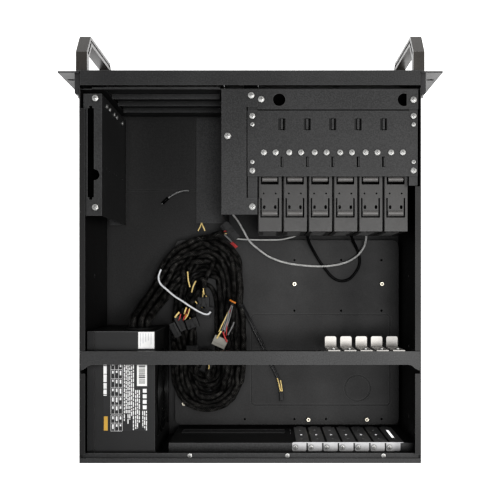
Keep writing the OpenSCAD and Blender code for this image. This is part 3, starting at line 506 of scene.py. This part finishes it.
# name, radius, length in metres, place in the trunk, tracks (half width, top, low, z),
# first turn, last turn, tail
LEADS = [
    ("board_lead", 4.3, 0.84, OUTER[0],
     [(46, 201, 445, 58), (46, 200, 446, 50)], 0.03, 1.09,
     [(56, 200, 52), (46, 196, 50), (40, 195, 49)]),
    ("processor_lead", 3.7, 0.67, OUTER[1],
     [(37, 217, 436, 70), (31, 238, 424, 66)], 0.04, 1.02,
     [(84, 262, 62), (76, 256, 60), (68, 262, 60), (67, 272, 58)]),
    ("second_processor_lead", 3.5, 0.65, OUTER[6],
     [(42, 208, 441, 66), (36, 218, 436, 54)], 0.04, 0.88, [(98, 306, 62), (92, 303, 66)]),
    ("card_lead_a", 3.7, 0.63, OUTER[2],
     [(40, 213, 437, 50), (40, 213, 437, 42)], 0.05, 0.92, [(88, 282, 52), (80, 288, 56)]),
    ("card_lead_b", 3.7, 0.45, OUTER[3],
     [(31, 230, 422, 68), (30, 232, 420, 58)], 0.05, 0.6, [(78, 388, 60), (72, 380, 60)]),
    ("card_lead_c", 3.5, 0.75, INNER[0],
     [(26, 239, 424, 58), (21, 247, 418, 70)], 0.05, 1.42,
     [(53, 394, 44), (58, 401, 52), (61, 397, 62), (61, 385, 63)]),
    ("drive_lead_a", 3.3, 0.81, OUTER[4],
     [(44, 205, 443, 42), (38, 222, 438, 62), (24, 246, 430, 70)], 0.03, 1.16,
     [(60, 246, 72), (66, 262, 70), (78, 284, 72), (86, 300, 76)]),
    ("drive_lead_b", 3.3, 0.64, OUTER[5],
     [(46, 202, 446, 42), (45, 204, 444, 70)], 0.02, 0.83, [(108, 352, 74), (107, 345, 77)]),
    ("disk_lead", 3.3, 0.81, INNER[1],
     [(33, 226, 433, 46), (41, 211, 438, 68)], 0.05, 1.3, [(25, 284, 74), (27, 296, 77)]),
    ("second_disk_lead", 3.1, 0.75, INNER[2],
     [(28, 234, 428, 46), (17, 256, 414, 74)], 0.05, 1.58,
     [(84, 396, 70), (85, 384, 64), (84, 374, 58)]),
]
routes = [hank_route(slot, tracks, a, b, tail) for _, _, _, slot, tracks, a, b, tail in LEADS]
routes = settle(routes, [lead[1] for lead in LEADS], 160)


def plug_block(columns, rows, at, turn, depth=14, pitch=4.2):
    """A multi-way power plug: a block with square cavities at its nose and a latch on top."""
    w, h = columns * pitch / 2, rows * pitch / 2
    parts = [brick((-w, -depth / 2, -h), (w, depth / 2 - 4, h))]
    for c in range(columns + 1):
        x = -w + c * pitch
        parts.append(brick((max(-w, x - 0.5), depth / 2 - 4, -h), (min(w, x + 0.5), depth / 2, h)))
    for k in range(rows + 1):
        z = -h + k * pitch
        parts.append(brick((-w, depth / 2 - 4, max(-h, z - 0.5)), (w, depth / 2, min(h, z + 0.5))))
    parts.append(brick((-2.4, -depth / 2 + 2, h), (2.4, depth / 2 - 1, h + 1.4)))
    parts.append(brick((-2.4, -depth / 2 + 2, h), (2.4, -depth / 2 + 4.5, h + 2.6)))
    return [(placed(part, at, turn), BLACK_PLASTIC) for part in parts]


def drive_plug(at, turn):
    """A flat drive power plug with its key ridge and contact slot."""
    parts = [brick((-10.5, -3.6, -3.4), (10.5, 1.5, 3.4)), brick((-10.5, 1.5, 1.6), (10.5, 5, 3.4)),
             brick((-10.5, 1.5, -3.4), (10.5, 5, -1.2)), brick((-10.5, 1.5, -1.2), (-8.8, 5, 1.6)),
             brick((8.8, 1.5, -1.2), (10.5, 5, 1.6)), brick((-7, -4.6, -2), (7, -3.6, 2)),
             brick((-8, -2, 3.4), (8, -1, 3.9)), brick((-8, 0.4, 3.4), (8, 1.2, 3.9))]
    return [(placed(part, at, turn), BLACK_PLASTIC) for part in parts]


WIRE_R = 0.85
WIRE_STEP = 2.0     # spacing of a wire's points
WIRE_LIFT = 3.0     # rise of a wire at its middle


def fan_wires(start, ends, colors):
    """Bare wires that spread from a sleeve's end to a plug's back."""
    parts = []
    start = np.asarray(start, float)
    for k, (end, color) in enumerate(zip(ends, colors)):
        end = np.asarray(end, float)
        a = 2.4 * k
        near = start + np.array([math.cos(a), math.sin(a), 0.4]) * WIRE_R * 1.3
        mid = (near + end) / 2 + np.array([math.cos(a) * 1.5, math.sin(a) * 1.5, WIRE_LIFT])
        parts.append(wire([near, mid, end], color))
    return parts


def wire(points, color, r=WIRE_R):
    return swept(resample(points, WIRE_STEP), circle(r, 8)), WIRES[color]


plugs = {
    "board_lead": plug_block(12, 2, (31, 193, 49), -50, 13, 2.4)
    + fan_wires((40, 195, 49), [(33 + k, 196 - k, 47 + k) for k in range(4)],
                ["black", "yellow", "red", "black"])
    + [wire([(42, 195, 50), (35, 201, 47), (28.5, 207.7, 45)], "grey", 1.3),
       wire([(28.5, 207.7, 45), (25, 211, 45), (21, 214.7, 44)], "red", 1.2),
       wire([(30.5, 209, 44), (26, 213, 44), (23, 216, 43)], "red", 0.9)],
    "processor_lead": plug_block(4, 2, (68, 292, 52), 0)
    + [wire([(88, 250, 76), (87, 260, 79), (85, 271, 76)], "yellow", 1.1),
       wire([(77, 262.7, 75), (80, 270, 79), (82.6, 278, 75)], "yellow", 1.1),
       wire([(75, 193, 60), (72, 187, 61), (70.3, 182, 60)], "yellow", 1.0),
       wire([(65.4, 193, 60), (68, 187, 61), (70.3, 182, 60)], "yellow", 1.0)]
    + fan_wires((67, 272, 58), [(63 + 3 * k, 286, 53 + k % 2 * 3) for k in range(4)],
                ["yellow", "black", "yellow", "black"]),
    "second_processor_lead": plug_block(4, 2, (84, 322, 50), 20)
    + fan_wires((92, 303, 66), [(86 + 2 * k, 316, 52) for k in range(3)],
                ["yellow", "black", "black"])
    + [wire([(89.5, 299, 77), (91, 303, 79), (92.5, 308, 77)], "yellow", 1.1)],
    "card_lead_c": plug_block(3, 2, (61, 366, 55), 180)
    + fan_wires((61, 385, 63), [(60 + k, 374, 57) for k in range(3)],
                ["black", "yellow", "black"]),
    "second_disk_lead": plug_block(4, 1, (84, 360, 50), 180)
    + fan_wires((84, 374, 58), [(82 + k, 367, 51) for k in range(4)],
                ["red", "black", "black", "yellow"]),
    "card_lead_a": plug_block(4, 2, (64, 306, 44), 70)
    + fan_wires((80, 288, 56), [(70 - 2 * k, 300 + k, 47) for k in range(3)],
                ["yellow", "black", "black"]),
    "card_lead_b": plug_block(3, 2, (66, 366, 52), 190)
    + fan_wires((72, 380, 60), [(68 + k, 374, 53) for k in range(3)], ["black", "black", "black"]),
    "drive_lead_a": drive_plug((97, 321, 79.5), -63)
    + fan_wires((86, 300, 76), [(90 + 1.6 * k, 314 + 1.4 * k, 80) for k in range(4)],
                ["orange", "yellow", "black", "red"])
    + [wire([(99, 305.5, 82), (102, 309, 84), (104.6, 312.4, 82)], "yellow", 1.4),
       wire([(97, 308, 82), (98, 313, 83), (100, 317, 82)], "red", 0.9)],
    "drive_lead_b": drive_plug((105, 330, 79.5), 117)
    + fan_wires((107, 345, 77), [(107 + 1.4 * k, 336 + 0.6 * k, 80) for k in range(4)],
                ["black", "black", "black", "black"]),
    "disk_lead": fan_wires((27, 296, 77), [(35 + 3.4 * k, 337.5 - 1.6 * k, 80.5) for k in range(4)],
                           ["red", "grey", "grey", "yellow"])
    + [wire([(30, 289, 78), (26, 291, 79), (22, 293, 78)], "orange", 1.3),
       wire([(31, 306, 80), (33, 316, 83), (38, 330, 84)], "grey", 1.2),
       wire([(24, 319, 80), (27, 326, 83), (32.5, 336.6, 83)], "grey", 1.1),
       wire([(39, 332, 84.5), (37, 338, 85.5), (33.5, 346, 84)], "red", 1.3),
       wire([(41.7, 331, 84), (44, 335, 85.5), (47.3, 340.7, 84)], "yellow", 1.2)],
}
plugs["disk_lead"] += [
    (placed(part, (43.5, 346, 80.2), -24), NYLON)
    for part in [brick((-9.4, -6.8, -4), (9.4, 2.8, 4)), brick((-9.4, 2.8, 2.8), (9.4, 6.8, 4)),
                 brick((-9.4, 2.8, -4), (9.4, 6.8, -2.8)), brick((-9.4, 2.8, -2.8), (-8, 6.8, 2.8)),
                 brick((8, 2.8, -2.8), (9.4, 6.8, 2.8)), brick((-9.9, -5, -2), (-9.4, 2, 2)),
                 brick((9.4, -5, -2), (9.9, 2, 2))]
]
HELD = {"board_lead": ("atx_plug",), "drive_lead_a": ("sata_plugs",), "disk_lead": ("molex_plug",)}

for (name, r, length, *_), route in zip(LEADS, routes):
    line = resample(route, FINE_STEP)
    lead = build(name, [(swept(line, circle(r, 16)), SLEEVE)],
                 stands_for=("harness_trunk", "harness_hank"))
    plug = build(name + "_plug", plugs[name], bevel=0.25, smooth=False,
                 stands_for=HELD.get(name, ()))


def free_cord(name, route, profile, mat, node, flat=False, step=1.6):
    """A lead along its CAD route, as one swept mesh that stands in for the CAD node."""
    line = resample(route, step)
    cord = build(name, [(swept(line, profile, flat), mat)], stands_for=(node,))


def ribbon(ways, pitch, r):
    """Profile of a flat cable: a row of round conductors in one jacket."""
    half = (ways - 1) * pitch / 2
    top = []
    for k in range(ways):
        x = half - k * pitch
        for a in np.linspace(0.15 * math.pi, 0.85 * math.pi, 4):
            top.append((x + r * math.cos(a), r * math.sin(a)))
    under = [(-x, -y) for x, y in top]
    return [(half + r, 0), *top, (-half - r, 0), *under]


PANEL = [(30, 165, 60), (25, 172, 56), (19, 180, 51), (12, 192, 46), (4, 206, 41), (-8, 217, 37),
         (-22, 227, 34), (-38, 234, 32.5), (-54, 238, 32.5), (-72, 240.5, 33.5), (-88, 241.7, 35),
         (-101, 241.8, 36.5), (-114, 240.7, 36), (-128, 237.8, 36), (-141, 232.5, 37),
         (-151.5, 224, 40), (-158, 214, 44), (-160, 203, 50), (-159, 192, 56)]
USB = [(-74, 186, 56), (-76.5, 196, 48), (-81, 209, 41), (-88, 221.5, 34.5), (-95.5, 234, 31.5),
       (-105, 247, 31), (-115, 258, 31), (-126.5, 262.7, 31), (-138, 260, 31), (-146.5, 251.5, 31),
       (-152, 241.5, 31), (-153, 230, 31), (-149, 217, 33), (-143, 206, 39), (-138.5, 196, 47),
       (-136, 187, 56)]
LED = [(25, 202.5, 37), (16, 203.2, 33), (4, 203.7, 31), (-10, 204, 30.5), (-26, 204, 30.5),
       (-40, 203.6, 31), (-52, 201.6, 34.5), (-61, 199, 41), (-66, 194, 49), (-68, 188, 56)]
SPARE = [(15, 296, 44), (7.5, 311, 37), (0.5, 325, 33.5), (-6.5, 339.5, 32.5), (-14, 354, 32),
         (-21, 369.5, 32), (-28, 384, 32), (-34.5, 397, 32), (-39, 409, 32), (-41, 419, 32)]
TIE_ROUTE = [(122, 247, 97), (125, 257, 98), (123, 266, 97), (114, 275, 92), (104, 284, 86),
             (95, 290, 82), (85, 297, 79), (71, 305.5, 78), (61, 308.5, 78), (56, 305, 78)]
SPEAKER = [(93, 131, 4.2), (100, 131, 4.2), (106.5, 132.3, 4.2), (112.5, 134.8, 4.2),
           (118, 138, 4.2), (123.5, 141.8, 4.2), (128.5, 146, 4.2), (132.5, 151, 4.2)]

free_cord("panel_ribbon", PANEL, ribbon(3, 0.8, 0.45), WIRES["white"],
          "panel_cable", flat=True)
free_cord("data_cable", USB, circle(1.9, 12), WIRES["black"], "usb_cable")
free_cord("lamp_lead", LED, ribbon(2, 0.95, 0.5), WIRES["white"],
          "led_wire", flat=True, step=1.0)
free_cord("hank_tie", TIE_ROUTE, circle(1.35, 12), TIE, "twist_tie")
boot_line = [(123, 141.4, 4.4), (127, 144.7, 4.4), (131.5, 149.6, 4.6)]
boot = build("floor_lead_boot", [(swept(boot_line, circle(2.3, 12)), WIRES["black"])],
             stands_for=("speaker_lead",))
free_cord("floor_lead", SPEAKER, circle(1.3, 12), WIRES["grey"],
          "speaker_lead")
spare_plug = build("spare_plug_block", plug_block(2, 1, (-41.5, 426.6, 32.4), 4, 14, 3.0)
                   + [wire([(-35.5, 401, 33), (-38, 410, 34), (-40.2, 420, 33)], "yellow", 1.0),
                      wire([(-40, 404, 33), (-41.5, 412, 34), (-42.4, 420, 33)], "yellow", 1.0)],
                   smooth=False, bevel=0.25, stands_for=("spare_plug",))
free_cord("spare_pair", SPARE, ribbon(2, 3.0, 1.1), WIRES["dark"],
          "spare_wires", flat=True)

# ---------------------------------------------------------------- rating label

LABEL_Z = 160.15    # upper face of the label film
FILM_DEEP = 0.15
rng = np.random.default_rng(7)


def printed(low, high, mat=INK, lift=0.05):
    """A printed patch on top of the label, from its X and Y corners."""
    return brick((*low, LABEL_Z - 0.02), (*high, LABEL_Z + lift)), mat


def text_lines(low, high, pitch, height, words=(2.0, 7.0)):
    """Wordless bars in place of text, running along Y."""
    parts = []
    for x in np.arange(high[0] - height, low[0] - 1e-6, -pitch):
        y, end = low[1], high[1] - rng.uniform(0, 0.25) * (high[1] - low[1])
        while y < end:
            stop = min(end, y + rng.uniform(*words))
            parts.append(printed((x, y), (x + height, stop)))
            y = stop + rng.uniform(0.7, 1.3)
    return parts


def frame_box(low, high, rows, columns):
    """A ruled table with bars in its cells."""
    half_line = 0.2
    xs, ys = np.linspace(low[0], high[0], rows + 1), np.linspace(low[1], high[1], columns + 1)
    parts = [printed((x - half_line, low[1]), (x + half_line, high[1])) for x in xs]
    parts += [printed((low[0], y - half_line), (high[0], y + half_line)) for y in ys]
    for x in xs[:-1]:
        for y in ys[:-1]:
            parts.append(printed((x + 1.3, y + 1.5), (x + 3.3, y + rng.uniform(4, 8))))
    return parts


label = [(brick((131, 353, LABEL_Z - FILM_DEEP), (187, 453.7, LABEL_Z)), FILM)]
label += text_lines((182, 353), (187, 419), 6, 4.2, (4, 11))
label += frame_box((163, 353), (177.6, 432), 3, 7) + frame_box((163, 433.5), (177.6, 453.7), 3, 2)
label += text_lines((147.7, 353), (161, 453.7), 2.3, 1.3)
label += text_lines((138.6, 401.5), (146.6, 453.7), 2.3, 1.3)
label += text_lines((131.6, 428), (137.6, 453.7), 2.3, 1.3)
label += [printed((132, y), (137, y + 5)) for y in (400, 407, 414, 421)]
label += [printed((181.5, 435), (186.5, 453), AMBER), printed((131.6, 353), (144.4, 396.5), PAPER)]
y = 355.0
while y < 394:
    bar = rng.uniform(0.4, 1.4)
    label.append(printed((134, y), (142, y + bar), FILM, 0.1))
    y += bar + rng.uniform(0.5, 1.3)
label.append((brick((122.3, 327.6, LABEL_Z - FILM_DEEP), (142.8, 349, LABEL_Z)), PAPER))
label += [printed((x, 329.5), (x + 0.9, rng.uniform(338, 347)), TIE)
          for x in (126, 129.4, 132.8, 136.2, 139.6)]
build("rating_label", label, smooth=False, stands_for=("psu_label",))

# ---------------------------------------------------------------- CAD nodes

LOOKS = {
    STEEL: ["rear_wall", "front_panel", "bay_bracket_outer", "bay_bracket_inner", "cage_top_plate",
            "drive_cage", "fan_bracket", "crossbar", "io_plate", "front_wall", "bay_blanks"],
    SHADED_FLOOR_STEEL: ["base_pan", "motherboard_tray"],
    EAR: ["ear_left", "ear_right"],
    HANDLE: ["handle_left", "handle_right"],
    PSU_PAINT: ["psu_case", "psu_cover"],
    TRAY: [f"drive_tray_{k}" for k in range(1, 7)],
    BLACK_PLASTIC: ["tray_guides", "psu_fan_frame", "psu_fan_rotor", "psu_inlet", "front_fan_frame",
                    "front_fan_rotor"],
    GLOSS_BLACK: ["psu_switch", "front_ports"],
    RUBBER: ["psu_bushing"],
    ZINC: ["case_screws"],
    BRACKET: ["slot_covers"],
    CLIP: [f"card_clip_{k}" for k in range(1, 6)],
    BRASS: ["standoffs"],
    GUARD: ["psu_fan_guard"],
    BOARD: ["psu_board"],
    BUTTON: ["power_button", "reset_button"],
    LENS: ["led_lenses"],
}
for mat, names in LOOKS.items():
    for name in names:
        slots = NODES[name].data.materials
        slots.clear()
        slots.append(mat)

# ---------------------------------------------------------------- stage and light

FLOOR_HALF, FLOOR_Z = 6, -0.0004
CORNERS = [(-1, -1), (1, -1), (1, 1), (-1, 1)]
floor = bpy.data.meshes.new("floor")
floor.from_pydata([(x * FLOOR_HALF, y * FLOOR_HALF, FLOOR_Z) for x, y in CORNERS], [],
                  [(0, 1, 2, 3)])
floor.materials.append(Graph("pale_floor", (0.9, 0.9, 0.9), 0.9, Emission_Color=(1, 1, 1, 1),
                             Emission_Strength=0.9).mat)
ground = bpy.data.objects.new("floor", floor)
bpy.context.scene.collection.objects.link(ground)

world = bpy.data.worlds.new("studio")
world.use_nodes = True
sky = world.node_tree.nodes["Background"].inputs
sky["Color"].default_value, sky["Strength"].default_value = (1, 1, 1, 1), 0.14
bpy.context.scene.world = world
bpy.context.scene.view_settings.view_transform = "Standard"
bpy.context.scene.view_settings.look = "Medium High Contrast"


def softbox(name, at, aim, power, color=(1, 1, 1)):
    """A square area light, pointed from one place to another."""
    data = bpy.data.lights.new(name, "AREA")
    data.size, data.energy, data.color = 0.7, power, color
    lamp = bpy.data.objects.new(name, data)
    lamp.location = at
    d = np.array(aim, float) - np.array(at, float)
    lamp.rotation_euler = (math.acos(-d[2] / np.linalg.norm(d)), 0, math.atan2(d[0], -d[1]))
    bpy.context.scene.collection.objects.link(lamp)


softbox("top", (-0.3, 0.45, 2.3), (-0.02, 0.3, 0), 26)
softbox("right", (-1.3, 0.1, 2.0), (0, 0.25, 0.1), 36, (1, 0.98, 0.95))
softbox("left", (1.3, 0.1, 2.0), (0, 0.25, 0.1), 14)
